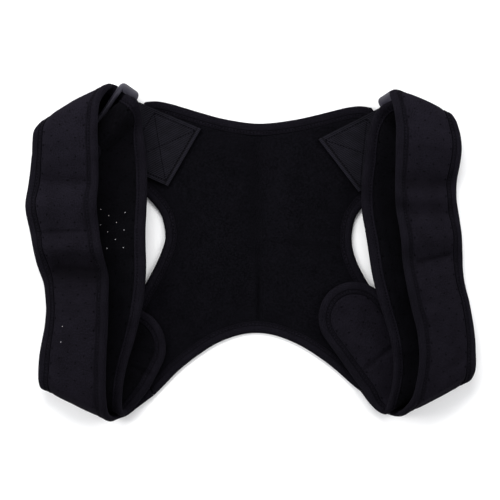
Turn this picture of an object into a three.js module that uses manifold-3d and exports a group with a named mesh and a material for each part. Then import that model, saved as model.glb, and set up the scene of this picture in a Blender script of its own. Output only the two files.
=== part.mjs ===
// A posture corrector laid flat with its inner side up: an X-shaped padded back panel, and on each side one
// long strap that runs from the panel's lower arm, turns at the top through a plastic ring and comes back down
// to end in a round tab. Millimetres, +Z up, +X to the right, +Y towards the top of the panel.
import * as THREE from "three";
import Module from "manifold-3d";

const wasm = await Module();
wasm.setup();

// Overall spread of the part as it lies
const spreadWidth = 450;
const spreadDepth = 337;
const loopHeight = 42;

// Back panel
const panelCentreX = 8.5;
const panelTop = 127.7;
const panelBottom = -81.3;
const panelWaist = 186;
const waistLine = 14.5;
const panelThickness = 3.6;
const creaseWidth = 6;
const creaseDepth = 0.7;

// Binding tape on every edge, and the fit between pieces
const tapeThickness = 0.9;
const tapeBand = 12;
const tapeRounding = 1.2;
const clearance = 0.3;

// Straps
const strapWidth = 74;
const strapThickness = 3.2;
const strapPressed = 0.55;
const strapEase = 1;

// Webbing and rings
const webbingWidth = 66;
const webbingThickness = 1.2;
const ringBar = 4.8;
const ringDepth = 24;
const ringCorner = 5;
const armGap = 6;
const armMargin = 2;

const radians = THREE.MathUtils.degToRad;
const seat = tapeThickness + clearance;
const panelRim = panelThickness - tapeThickness + clearance - seat;
const panelSkinTop = seat + panelRim + seat;
const strapRest = strapThickness / 2 + seat;
const ply = 2 * strapRest + clearance;
const barGap = ringDepth - ringBar;
const strapInRing = 0.92 * strapWidth;
const ringWindow = Math.max(webbingWidth, strapInRing) + 4 * clearance;
const lowerPly = panelSkinTop + clearance + webbingThickness / 2;
const upperPly = lowerPly + webbingThickness + clearance;
const hookBarZ = (lowerPly + upperPly) / 2;
const webbingLoop = ringBar / 2 + 3 * clearance + webbingThickness;
const armEndWidth = webbingWidth + 2 * armMargin;

// A table of rows with named columns.
function table(columns, rows) {
  const names = columns.split(" ");
  return rows.map((row) => Object.fromEntries(names.map((name, i) => [name, row[i]])));
}

// Straps: x and y place the outer edge, as shares of half the spread. plies counts the strap layers beneath,
// and lift is a share of the loop's height. yaw and rise, in degrees, point from the outer edge to the inner
// one. span is that distance as a share of the strap's width, and crown is how far the middle swells.
const strapColumns = "x y plies lift yaw rise span crown";
// At the ring, across and up are shares of the distance between its long bars, and turn adds to its yaw.
const passColumns = "across up turn rise span crown";

const sides = [
  {
    name: "left",
    hand: -1,
    ring: { x: -0.629, y: 0.763, yaw: 55.6, tilt: 32 },
    patch: { x: -0.29, y: 0.557, yaw: 60 },
    outward: table(strapColumns, [
      [-0.577, -0.483, 0, 0, -62, 0, 0.96, 0],
      [-0.701, -0.584, 0, 0, -51, 0, 0.99, 0],
      [-0.834, -0.69, 0, 0, -37, 0, 1.08, 0],
      [-0.9, -0.755, 0, 0.03, -29, 0.4, 1.1, 0],
      [-0.924, -0.788, 0, 0.17, -25.5, 5, 1.08, 0.02],
      [-0.932, -0.757, 0, 0.29, -25, 10, 1.06, 0.03],
      [-0.933, -0.697, 0, 0.34, -22.5, 13, 1.03, 0.03],
      [-0.927, -0.592, 0, 0.27, -14, 18, 0.98, 0.03],
      [-0.907, -0.434, 0, 0.15, -6, 23.5, 0.95, 0.04],
      [-0.903, -0.316, 0, 0.1, 1.5, 24.5, 0.95, 0.05],
      [-0.913, -0.196, 0, 0.075, 3.5, 24, 0.97, 0.04],
      [-0.945, -0.074, 0, 0.04, 2, 21, 1, -0.01],
      [-0.961, 0.027, 0, 0.11, 0.5, 21.5, 1.02, 0.05],
      [-0.976, 0.121, 0, 0.03, -0.5, 21, 1.03, -0.01],
      [-0.995, 0.275, 0, 0.09, 1, 20, 1.05, 0.04],
      [-0.982, 0.4, 0, 0.04, 1, 19, 1.02, -0.01],
      [-0.965, 0.552, 0, 0.22, 3, 20, 0.98, 0.03],
      [-0.959, 0.638, 0, 0.37, 14, 17.5, 0.97, 0.04],
      [-0.953, 0.69, 0, 0.44, 25, 13, 1.03, 0.03],
      [-0.934, 0.727, 0, 0.34, 29, 10, 1.1, 0.05],
      [-0.924, 0.741, 0, 0.17, 29.5, 8, 1.1, 0.04],
      [-0.903, 0.73, 0, 0.065, 33, 5, 1.07, 0],
      [-0.843, 0.696, 0, 0.02, 40, 4, 1.01, 0],
    ]),
    pass: table(passColumns, [
      [-0.42, -0.09, 0, 0, 0.92, 0],
      [0, 0, 0, 0, 0.92, 0],
      [0.13, 0.31, -2, 0, 0.92, -0.03],
      [0.02, 0.63, -6, 2, 0.92, -0.06],
      [0.42, 0.8, -8, 3, 0.94, -0.07],
    ]),
    homeward: table(strapColumns, [
      [-0.704, 0.522, 0, 0.35, 43, 0, 0.94, -0.04],
      [-0.732, 0.445, 0, 0.3, 36, 0, 0.98, -0.02],
      [-0.751, 0.333, 0, 0.24, 24, 3, 0.99, 0],
      [-0.75, 0.216, 0, 0.15, 12.5, 7.5, 0.93, 0],
      [-0.755, 0.068, 0, 0.1, 4.5, 11.5, 0.92, -0.02],
      [-0.755, -0.139, 0, 0.1, 0, 13, 0.93, -0.02],
      [-0.765, -0.346, 0, 0.15, 0.5, 12, 0.9, -0.02],
      [-0.785, -0.493, 0, 0.22, -2.5, 8.5, 0.86, -0.01],
      [-0.81, -0.651, 0, 0.29, -4.5, 6, 0.82, 0],
      [-0.824, -0.756, 0, 0.33, -12, 4.5, 0.82, 0],
      [-0.835, -0.811, 0, 0.24, -21, 2, 0.9, 0],
      [-0.814, -0.783, 1, 0, -25, 0, 0.92, 0],
      [-0.748, -0.635, 1, 0, -30.5, 0, 0.98, 0],
      [-0.673, -0.464, 1, -0.01, -30.5, 0, 0.98, 0],
      [-0.596, -0.254, 1, -0.03, -30.5, 0, 0.98, 0],
    ]),
  },
  {
    name: "right",
    hand: 1,
    ring: { x: 0.698, y: 0.72, yaw: 122.7, tilt: 38 },
    patch: { x: 0.392, y: 0.509, yaw: 127.5 },
    outward: table(strapColumns, [
      [0.644, -0.465, 0, 0, -119.5, 0, 0.95, 0],
      [0.777, -0.578, 0, 0, -133, 0, 1.05, 0],
      [0.888, -0.679, 0, 0, -145, 0, 1.1, 0],
      [0.949, -0.731, 0, 0.03, -151.5, 0.3, 1.12, 0],
      [0.977, -0.741, 0, 0.17, -153, 5, 1.1, 0.02],
      [0.993, -0.698, 0, 0.29, -152, 9.5, 1.08, 0.03],
      [0.996, -0.644, 0, 0.34, -151, 12.5, 1.02, 0.03],
      [0.995, -0.574, 0, 0.29, -155, 18, 0.93, 0.03],
      [0.99, -0.469, 0, 0.22, -158, 22.5, 0.89, 0.04],
      [0.974, -0.328, 0, 0.12, -158.5, 26, 0.89, 0.05],
      [0.957, -0.228, 0, 0.075, -162, 27, 0.9, 0.05],
      [0.944, -0.145, 0, 0.09, -169, 26.5, 0.89, 0.04],
      [0.942, -0.027, 0, 0.03, -174.5, 23.5, 0.91, -0.01],
      [0.937, 0.092, 0, 0.09, -179, 24.5, 0.93, 0.05],
      [0.922, 0.246, 0, 0.04, -178.5, 22, 0.92, -0.01],
      [0.914, 0.322, 0, 0.09, -179, 23, 0.92, 0.03],
      [0.92, 0.441, 0, 0.1, -179, 20.5, 0.92, 0],
      [0.933, 0.587, 0, 0.3, 177, 18, 0.95, 0.04],
      [0.925, 0.697, 0, 0.34, 171.5, 19, 0.94, 0.04],
      [0.911, 0.751, 0, 0.39, 165, 16, 0.94, 0.03],
      [0.895, 0.786, 0, 0.29, 158.5, 13, 0.95, 0.05],
      [0.884, 0.794, 0, 0.17, 156, 11, 0.76, 0.03],
      [0.86, 0.787, 0, 0.05, 151, 8.5, 0.655, 0],
      [0.816, 0.732, 0, 0.02, 137, 5, 0.64, 0],
    ]),
    pass: table(passColumns, [
      [-0.39, -0.04, 0, 0, 0.91, 0],
      [0, 0.01, 0, 0, 0.91, 0],
      [0.38, 0.12, 4, 0, 0.92, -0.02],
    ]),
    homeward: table(strapColumns, [
      [0.757, 0.485, 0, 0.34, 131, 1, 0.97, -0.03],
      [0.765, 0.43, 0, 0.28, 141, 2, 0.95, -0.02],
      [0.79, 0.38, 0, 0.2, 155, 5, 0.95, 0],
      [0.79, 0.31, 0, 0.13, 166, 8, 0.94, 0],
      [0.79, 0.216, 0, 0.12, 175, 8.5, 0.92, -0.01],
      [0.807, 0.068, 0, 0.1, -180, 11.5, 0.91, -0.02],
      [0.825, -0.098, 0, 0.1, -176.5, 13.5, 0.91, -0.02],
      [0.851, -0.263, 0, 0.15, -173, 12, 0.88, -0.02],
      [0.87, -0.416, 0, 0.22, -173.5, 9.5, 0.82, -0.01],
      [0.883, -0.569, 0, 0.27, -176.5, 8, 0.79, 0],
      [0.882, -0.674, 0, 0.29, -171.5, 6, 0.78, 0],
      [0.864, -0.745, 0, 0.34, -163.5, 3, 0.79, 0],
      [0.84, -0.786, 0, 0.26, -154, 1.2, 0.85, 0],
      [0.797, -0.753, 1, 0, -152.5, 0, 0.85, 0],
      [0.758, -0.572, 1, 0, -144, 0, 0.97, 0],
      [0.653, -0.38, 1, -0.01, -144, 0, 0.97, 0],
      [0.497, -0.093, 1, -0.03, -144, 0, 0.97, 0],
    ]),
  },
];

// Panel edges, each half from its middle to the corner: both columns are shares of that distance.
const topEdge = {
  left: table("x y", [[0, 0], [0.31, 0.22], [0.49, 0.47], [0.67, 0.75], [0.79, 0.93], [0.9, 1.03], [1, 1]]),
  right: table("x y", [[0, 0], [0.31, 0.23], [0.49, 0.5], [0.67, 0.82], [0.79, 1.02], [0.9, 1.1], [1, 1]]),
};
const bottomEdge = {
  left: table("x y", [[0, 0], [0.175, 0.03], [0.39, 0.16], [0.58, 0.36], [0.765, 0.605], [0.915, 0.86], [1, 1]]),
  right: table("x y", [[0, 0], [0.175, 0.05], [0.39, 0.2], [0.58, 0.4], [0.765, 0.645], [0.915, 0.88], [1, 1]]),
};
const armholeUpper = table("x y", [[0, 0], [0.057, 0.26], [0.15, 0.38], [0.313, 0.52], [0.65, 0.76], [1, 1]]);
const armholeLower = {
  left: table("x y", [[0, 0], [0.05, 0.104], [0.162, 0.24], [0.365, 0.427], [0.68, 0.7], [1, 1]]),
  right: table("x y", [[0, 0], [0.015, 0.104], [0.095, 0.24], [0.29, 0.427], [0.645, 0.7], [1, 1]]),
};

// A level direction at an angle from +X, raised by another angle.
function heading(yaw, rise = 0) {
  const level = Math.cos(radians(rise));
  return new THREE.Vector3(
    level * Math.cos(radians(yaw)),
    level * Math.sin(radians(yaw)),
    Math.sin(radians(rise)),
  );
}

// Where a ring lies: its two long bars, the way along them and the way from the strap's bar to the webbing's.
function ringPlace({ hand, ring }) {
  const along = heading(ring.yaw);
  const level = heading(ring.yaw + 90 * hand);
  const tilt = radians(ring.tilt);
  const across = level.clone().multiplyScalar(Math.cos(tilt)).setZ(-Math.sin(tilt));
  const middle = new THREE.Vector3(
    (ring.x * spreadWidth) / 2,
    (ring.y * spreadDepth) / 2,
    hookBarZ + (barGap / 2) * Math.sin(tilt),
  );
  const hookBar = middle.clone().addScaledVector(across, barGap / 2);
  return { along, level, across, middle, hookBar };
}

// The lines across a strap from one edge to the other, in order from the panel's seam to the tab's end.
function strapLines(side) {
  const lay = (row) => {
    const across = heading(row.yaw, row.rise).multiplyScalar(row.span);
    const outer = new THREE.Vector3(
      (row.x * spreadWidth) / 2,
      (row.y * spreadDepth) / 2,
      strapRest + row.plies * ply + row.lift * loopHeight,
    );
    return { centre: outer.addScaledVector(across, strapWidth / 2), across, crown: row.crown };
  };
  const place = ringPlace(side);
  const thread = (row) => {
    const centre = place.middle.clone().addScaledVector(place.level, row.across * barGap);
    centre.z += row.up * barGap;
    const across = heading(side.ring.yaw + row.turn, row.rise).multiplyScalar(row.span);
    return { centre, across, crown: row.crown };
  };
  return [...side.outward.map(lay), ...side.pass.map(thread), ...side.homeward.map(lay)];
}

// The lines across the folded webbing: out along the top ply, round the ring's bar and back beneath.
function webbingLines(side) {
  const { hookBar } = ringPlace(side);
  const patch = new THREE.Vector3((side.patch.x * spreadWidth) / 2, (side.patch.y * spreadDepth) / 2, 0);
  const bar = hookBar.clone().setZ(0);
  const away = patch.clone().sub(bar);
  const length = away.length();
  away.normalize();
  const radius = webbingLoop - webbingThickness / 2;
  const line = (distance, z) => {
    const share = Math.max(distance, 0) / length;
    const centre = bar.clone().addScaledVector(away, distance).setZ(z);
    return { centre, across: heading(THREE.MathUtils.lerp(side.ring.yaw, side.patch.yaw, share)), crown: 0 };
  };
  const arm = webbingLoop + armGap - 5 * clearance;
  const flat = [1, 0.7, 0.35].map((share) => arm + share * (length - arm));
  flat.push(arm);
  const loop = [90, 135, 180, 225, 270].map((angle) =>
    line(radius * Math.cos(radians(angle)), hookBarZ + radius * Math.sin(radians(angle))),
  );
  return [
    ...flat.map((distance) => line(distance, upperPly)),
    ...loop,
    ...flat.reverse().map((distance) => line(distance, lowerPly)),
  ];
}

// A band of cloth through a list of lines. point(k, v, n) lies v from its middle line and n off its face.
function ribbon(lines, width, hand) {
  const smooth = (points) => new THREE.CatmullRomCurve3(points, false, "centripetal");
  const centre = smooth(lines.map((line) => line.centre));
  const across = smooth(lines.map((line) => line.across));
  const crown = smooth(lines.map((line) => new THREE.Vector3(line.crown, 0, 0)));
  const last = lines.length - 1;
  const ruled = (k, v) => centre.getPoint(k / last).addScaledVector(across.getPoint(k / last), v);
  const normal = (k, v) => {
    const before = ruled(Math.max(k - 0.02, 0), v);
    const travel = ruled(Math.min(k + 0.02, last), v).sub(before);
    return travel.cross(across.getPoint(k / last)).multiplyScalar(hand).normalize();
  };
  const point = (k, v, n) => {
    const swell = crown.getPoint(k / last).x * width * (1 - (2 * v / width) ** 2);
    return ruled(k, v).addScaledVector(normal(k, v), swell + n);
  };

  // Length along the middle line, for places measured in millimetres from the start.
  const fine = 60;
  const lengths = [0];
  for (let i = 1; i <= last * fine; i++) {
    const step = ruled(i / fine, 0).distanceTo(ruled((i - 1) / fine, 0));
    lengths.push(lengths[i - 1] + step);
  }
  const lengthAt = (k) => lengths[Math.round(k * fine)];
  const total = lengths[lengths.length - 1];
  const stationAt = (length) => {
    const i = Math.max(lengths.findIndex((l) => l > length), 1);
    if (length >= total) return last;
    return (i - 1 + (length - lengths[i - 1]) / (lengths[i] - lengths[i - 1])) / fine;
  };

  // More stations where the cloth turns.
  const stations = [0];
  for (let i = 0; i < last; i++) {
    const turns = [-0.5, 0, 0.5].map((share) =>
      normal(i + 0.01, share * width).angleTo(normal(i + 0.99, share * width)),
    );
    const turn = THREE.MathUtils.radToDeg(Math.max(...turns));
    const steps = Math.min(Math.max(Math.ceil(turn / 30), 1), 4);
    for (let j = 1; j <= steps; j++) stations.push(i + j / steps);
  }
  return { width, point, lengthAt, stationAt, total, stations };
}

// One closed solid through a row of outlines that all have the same number of points.
function loft(outlines, section) {
  const count = outlines[0].length;
  const points = outlines.flat();
  const index = [];
  for (let i = 0; i + 1 < outlines.length; i++) {
    for (let j = 0; j < count; j++) {
      const next = (j + 1) % count;
      const [a, b] = [i * count + j, i * count + next];
      // Each four-cornered face is split from its lower x here to its higher x at the next outline, or along
      // its shorter diagonal, so that pieces which lie over each other keep their distance where they twist.
      const rises = section[next].x - section[j].x;
      const short = points[a].distanceTo(points[b + count]) < points[b].distanceTo(points[a + count]);
      if (rises > 0 || (rises === 0 && short)) index.push(a, b, b + count, a, b + count, a + count);
      else index.push(a, b, a + count, b, b + count, a + count);
    }
  }
  const end = (outlines.length - 1) * count;
  const turned = THREE.ShapeUtils.area(section) < 0;
  for (const face of THREE.ShapeUtils.triangulateShape(section, [])) {
    const same = THREE.ShapeUtils.area(face.map((i) => section[i])) < 0 === turned;
    const [a, b, c] = same ? face : face.reverse();
    index.push(a, c, b, end + a, end + b, end + c);
  }
  const geometry = new THREE.BufferGeometry().setFromPoints(points);
  geometry.setIndex(facingOut(geometry, index));
  geometry.computeVertexNormals();
  return geometry;
}

// The triangles turned round if they enclose a negative volume.
function facingOut(geometry, index) {
  const corner = (i) => new THREE.Vector3().fromBufferAttribute(geometry.attributes.position, index[i]);
  let volume = 0;
  for (let i = 0; i < index.length; i += 3) volume += corner(i).dot(corner(i + 1).cross(corner(i + 2)));
  return volume > 0 ? index : index.reverse();
}

// The outline of a flat band, over its top and back beneath, from its half thickness at places across it.
function bandOutline(places) {
  const top = places.map(([x, half]) => new THREE.Vector2(x, half));
  return [...top, ...top.map((p) => new THREE.Vector2(p.x, -p.y)).reverse()];
}

// The tape's section, open towards the cloth: x runs inwards from the edge and y through the thickness.
function tapeSection(clothHalf) {
  const inside = clothHalf + clearance;
  const outside = inside + tapeThickness;
  return [
    [tapeBand, inside],
    [tapeThickness, inside],
    [tapeThickness, -inside],
    [tapeBand, -inside],
    [tapeBand, -outside],
    [tapeRounding, -outside],
    [0, tapeRounding - outside],
    [0, outside - tapeRounding],
    [tapeRounding, outside],
    [tapeBand, outside],
  ].map(([x, y]) => new THREE.Vector2(x, y));
}

const tabRadius = strapWidth / 2;
const tabSteps = 8;

// The strap's padded cloth, which narrows to a half circle at the tab's end.
function strapCloth(cloth) {
  const straight = cloth.total - tabRadius;
  const full = strapWidth / 2 - seat - strapEase;
  const inner = 1 - (tapeBand - seat) / full;
  const places = [
    [-1, strapPressed],
    [-inner, (1 + strapPressed) / 2],
    [0, 1],
    [inner, (1 + strapPressed) / 2],
    [1, strapPressed],
  ];
  const outline = bandOutline(places);
  const outlineAt = (k, halfWidth) =>
    outline.map((p) => cloth.point(k, p.x * halfWidth, (p.y * strapThickness) / 2));
  const outlines = cloth.stations
    .filter((k) => cloth.lengthAt(k) < straight - 1)
    .map((k) => outlineAt(k, full));
  for (let i = 0; i < tabSteps; i++) {
    const angle = (i / tabSteps) * (Math.PI / 2);
    outlines.push(outlineAt(cloth.stationAt(straight + full * Math.sin(angle)), full * Math.cos(angle)));
  }
  return loft(outlines, outline);
}

// The strap's tape: up one edge, round the tab and back along the other edge.
function strapTape(cloth) {
  const straight = cloth.total - tabRadius;
  const section = tapeSection(strapThickness / 2);
  const edge = cloth.stations.map(cloth.lengthAt).filter((u) => u < straight - 1);
  const marks = edge.map((u) => ({ u, v: -tabRadius, inU: 0, inV: 1 }));
  for (let i = 0; i <= 2 * tabSteps; i++) {
    const angle = (i / tabSteps - 1) * (Math.PI / 2);
    const [out, side] = [Math.cos(angle), Math.sin(angle)];
    marks.push({ u: straight + tabRadius * out, v: tabRadius * side, inU: -out, inV: -side });
  }
  marks.push(...edge.reverse().map((u) => ({ u, v: tabRadius, inU: 0, inV: -1 })));
  const outlines = marks.map(({ u, v, inU, inV }) =>
    section.map((p) => cloth.point(cloth.stationAt(u + inU * p.x), v + inV * p.x, p.y)),
  );
  return loft(outlines, section);
}

function webbingPiece(side) {
  const band = ribbon(webbingLines(side), webbingWidth, side.hand);
  const outline = bandOutline([-1, 1].map((hand) => [(hand * webbingWidth) / 2, webbingThickness / 2]));
  return loft(band.stations.map((k) => outline.map((p) => band.point(k, p.x, p.y))), outline);
}

// A rectangle with round corners, as the boundary of a shape or of a hole.
function roundedRectangle(path, width, length, corner) {
  const [x, y] = [width / 2 - corner, length / 2 - corner];
  path.absarc(x, y, corner, 0, Math.PI / 2);
  path.absarc(-x, y, corner, Math.PI / 2, Math.PI);
  path.absarc(-x, -y, corner, Math.PI, 1.5 * Math.PI);
  path.absarc(x, -y, corner, 1.5 * Math.PI, 2 * Math.PI);
  return path.closePath();
}

function ringPiece() {
  const bevel = ringBar / 4;
  const shape = roundedRectangle(
    new THREE.Shape(),
    ringDepth - 2 * bevel,
    ringWindow + 2 * ringBar - 2 * bevel,
    ringCorner - bevel,
  );
  const wall = ringBar - bevel;
  shape.holes.push(
    roundedRectangle(new THREE.Path(), ringDepth - 2 * wall, ringWindow + 2 * ringBar - 2 * wall, ringCorner - wall),
  );
  const depth = ringBar - 2 * bevel;
  const settings = { depth, bevelSize: bevel, bevelThickness: bevel, bevelSegments: 1, curveSegments: 3 };
  return new THREE.ExtrudeGeometry(shape, settings).translate(0, 0, -depth / 2);
}

// The panel's two corners at the end of an arm, upper one first, just short of what the arm meets.
function lowerArmEnd(side) {
  const line = strapLines(side)[0];
  const along = line.across.clone().normalize();
  const inward = new THREE.Vector3(-along.y, along.x, 0).multiplyScalar(-side.hand * clearance);
  return [-0.5, 0.5].map((share) =>
    line.centre.clone().addScaledVector(line.across, share * strapWidth).add(inward).setZ(0),
  );
}

function upperArmEnd(side) {
  const { along, level, hookBar } = ringPlace(side);
  const middle = hookBar.clone().addScaledVector(level, webbingLoop + armGap).addScaledVector(along, 3).setZ(0);
  return [-0.5, 0.5].map((share) => middle.clone().addScaledVector(along, share * armEndWidth));
}

// Half an edge, from its middle to a corner.
function halfEdge(middle, corner, rows) {
  return rows.map((row) =>
    new THREE.Vector3(
      THREE.MathUtils.lerp(middle.x, corner.x, row.x),
      THREE.MathUtils.lerp(middle.y, corner.y, row.y),
      0,
    ),
  );
}

// The four bound edges, each a curve with the panel on its left, and the direction of the cut at its two ends.
function panelEdges() {
  const [left, right] = sides.map((side) => ({ upper: upperArmEnd(side), lower: lowerArmEnd(side) }));
  const top = new THREE.Vector3(panelCentreX, panelTop, 0);
  const bottom = new THREE.Vector3(panelCentreX, panelBottom, 0);
  const waist = (hand) => new THREE.Vector3(panelCentreX + (hand * panelWaist) / 2, waistLine, 0);
  const join = (middle, from, to, fromRows, toRows) => [
    ...halfEdge(middle, from, fromRows).reverse(),
    ...halfEdge(middle, to, toRows).slice(1),
  ];
  const cut = ([a, b]) => b.clone().sub(a).normalize();
  const edge = (name, points, fromCut, toCut) => ({
    name,
    curve: new THREE.CatmullRomCurve3(points, false, "centripetal"),
    cuts: [fromCut, toCut],
  });
  return [
    edge(
      "top_binding",
      join(top, right.upper[1], left.upper[1], topEdge.right, topEdge.left),
      cut(right.upper).negate(),
      cut(left.upper).negate(),
    ),
    edge(
      "left_armhole_binding",
      join(waist(-1), left.upper[0], left.lower[0], armholeUpper, armholeLower.left),
      cut(left.upper),
      cut(left.lower),
    ),
    edge(
      "bottom_binding",
      join(bottom, left.lower[1], right.lower[1], bottomEdge.left, bottomEdge.right),
      cut(left.lower).negate(),
      cut(right.lower).negate(),
    ),
    edge(
      "right_armhole_binding",
      join(waist(1), right.lower[0], right.upper[0], armholeLower.right, armholeUpper),
      cut(right.lower),
      cut(right.upper),
    ),
  ];
}

const edgeSteps = 16;

function edgeTape({ curve, cuts }) {
  const section = tapeSection(panelRim / 2);
  const middleZ = seat + panelRim / 2;
  const outlines = [];
  for (let i = 0; i <= edgeSteps; i++) {
    const place = curve.getPoint(i / edgeSteps);
    const tangent = curve.getTangent(i / edgeSteps);
    const square = new THREE.Vector3(-tangent.y, tangent.x, 0);
    const share = [1 - i, 1 - (edgeSteps - i)].map((s) => Math.max(s, 0));
    const inward = square.clone();
    if (share[0] || share[1]) {
      const cut = cuts[share[0] ? 0 : 1];
      inward.copy(cut).multiplyScalar(1 / Math.max(cut.dot(square), 0.5));
    }
    outlines.push(section.map((p) => place.clone().addScaledVector(inward, p.x).setZ(middleZ + p.y)));
  }
  return loft(outlines, section);
}

// A manifold-3d solid as three.js geometry.
function geometryOf(solid) {
  const mesh = solid.getMesh();
  const geometry = new THREE.BufferGeometry();
  const points = [];
  for (let i = 0; i < mesh.numVert; i++) {
    points.push(...mesh.vertProperties.subarray(i * mesh.numProp, i * mesh.numProp + 3));
  }
  geometry.setAttribute("position", new THREE.Float32BufferAttribute(points, 3));
  geometry.setIndex([...mesh.triVerts]);
  geometry.computeVertexNormals();
  return geometry;
}

// The padded panel: full thickness inside the tape, a thinner rim under it and a pressed fold down the middle.
function panelPiece(edges) {
  const corners = edges.flatMap(({ curve }) => curve.getPoints(edgeSteps));
  const outline = new wasm.CrossSection([corners.map((p) => [p.x, p.y])], "EvenOdd");
  const stubs = edges.map(({ curve }, i) => {
    const next = edges[(i + 1) % edges.length].curve;
    const [from, to] = [curve.getPoint(1), next.getPoint(0)];
    const quad = [
      from,
      from.clone().addScaledVector(curve.getTangent(1), 2 * tapeBand),
      to.clone().addScaledVector(next.getTangent(0), -2 * tapeBand),
      to,
    ];
    return new wasm.CrossSection([quad.map((p) => [p.x, p.y])], "NonZero");
  });
  const long = wasm.CrossSection.union([outline, ...stubs]);
  const rim = long.offset(-seat, "Miter").intersect(outline).extrude(panelRim).translate(0, 0, seat);
  const body = long.offset(-tapeBand - clearance, "Miter").intersect(outline).extrude(panelThickness);
  const groove = new wasm.CrossSection([
    [
      [-creaseWidth / 2, 0],
      [0, -creaseDepth],
      [creaseWidth / 2, 0],
      [0, creaseDepth],
    ],
  ])
    .extrude(panelTop - panelBottom - 4 * tapeBand)
    .rotate([-90, 0, 0])
    .translate(panelCentreX, panelBottom + 2 * tapeBand, panelThickness);
  return geometryOf(rim.add(body).subtract(groove));
}

const materials = {
  cloth: { color: 0x17161c, roughness: 0.92, metalness: 0 },
  lining: { color: 0x0e0e11, roughness: 0.95, metalness: 0 },
  tape: { color: 0x1b1a21, roughness: 0.85, metalness: 0 },
  webbing: { color: 0x1e1d25, roughness: 0.8, metalness: 0 },
  plastic: { color: 0x2b2a32, roughness: 0.4, metalness: 0 },
};

function addPiece(group, name, geometry, look) {
  const mesh = new THREE.Mesh(geometry, new THREE.MeshStandardMaterial(materials[look]));
  mesh.name = name;
  group.add(mesh);
  return mesh;
}

function corrector() {
  const pieces = new THREE.Group();
  const edges = panelEdges();
  addPiece(pieces, "back_panel", panelPiece(edges), "lining");
  for (const edge of edges) addPiece(pieces, edge.name, edgeTape(edge), "tape");
  for (const side of sides) {
    const cloth = ribbon(strapLines(side), strapWidth, side.hand);
    addPiece(pieces, `${side.name}_strap`, strapCloth(cloth), "cloth");
    addPiece(pieces, `${side.name}_strap_binding`, strapTape(cloth), "tape");
    addPiece(pieces, `${side.name}_webbing`, webbingPiece(side), "webbing");
    const { along, across, middle } = ringPlace(side);
    const ring = addPiece(pieces, `${side.name}_ring`, ringPiece(), "plastic");
    ring.position.copy(middle);
    ring.setRotationFromMatrix(new THREE.Matrix4().makeBasis(across, along, across.clone().cross(along)));
  }
  return pieces;
}

// Stood on the floor with the middle of its box over the origin.
const part = new THREE.Group();
const pieces = corrector();
part.add(pieces);
const box = new THREE.Box3().setFromObject(pieces, true);
pieces.position.set(-(box.min.x + box.max.x) / 2, -(box.min.y + box.max.y) / 2, -box.min.z);

export default part;
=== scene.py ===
import math

import bmesh
import bpy
import numpy as np
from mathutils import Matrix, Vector
from mathutils.geometry import delaunay_2d_cdt


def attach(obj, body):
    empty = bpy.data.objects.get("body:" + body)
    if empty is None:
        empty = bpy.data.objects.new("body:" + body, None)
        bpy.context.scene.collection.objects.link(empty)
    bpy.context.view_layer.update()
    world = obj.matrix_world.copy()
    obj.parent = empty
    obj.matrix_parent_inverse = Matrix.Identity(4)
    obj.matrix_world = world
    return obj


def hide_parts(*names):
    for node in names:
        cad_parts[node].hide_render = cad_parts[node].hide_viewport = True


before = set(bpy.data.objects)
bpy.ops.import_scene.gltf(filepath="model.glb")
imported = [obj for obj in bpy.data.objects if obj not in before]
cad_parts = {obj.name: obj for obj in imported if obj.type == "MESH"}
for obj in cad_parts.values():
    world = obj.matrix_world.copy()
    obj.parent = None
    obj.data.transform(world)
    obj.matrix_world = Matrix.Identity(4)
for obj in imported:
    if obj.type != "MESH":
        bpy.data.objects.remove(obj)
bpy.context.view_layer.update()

# A posture corrector laid flat, inner side up. Sizes here are in millimetres and the frame is in metres.
scene = bpy.context.scene
mm = 0.001

layout = {
    "spreadWidth": 450,
    "spreadDepth": 337,
    "loopHeight": 42,
    "shiftX": -0.05,  # from the layout's own middle to the middle of the part's box
    "shiftY": 0.86,
    "clearance": 0.3,
    "strapWidth": 74,
    "strapThickness": 3.2,
    "tapeThickness": 0.9,
}
seat = layout["tapeThickness"] + layout["clearance"]
strapRest = layout["strapThickness"] / 2 + seat
ply = 2 * strapRest + layout["clearance"]
halfSpread = np.array([layout["spreadWidth"], layout["spreadDepth"]]) / 2


# Rows of numbers under named columns. A comma or a new piece of text starts a row.
def table(columns, *rows):
    names = columns.split()
    return [dict(zip(names, map(float, row.split()))) for row in ",".join(rows).split(",")]


# x, y: the outer edge, as shares of half the spread. yaw and rise point from it to the inner edge.
strapColumns = "x y plies lift yaw rise span crown"
passColumns = "across up turn rise span crown"
# A sharp crease in the cloth: a line from x0 y0 to x1 y1, its width and depth, and the rows it lies between.
creaseColumns = "x0 y0 x1 y1 width depth first last"

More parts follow.
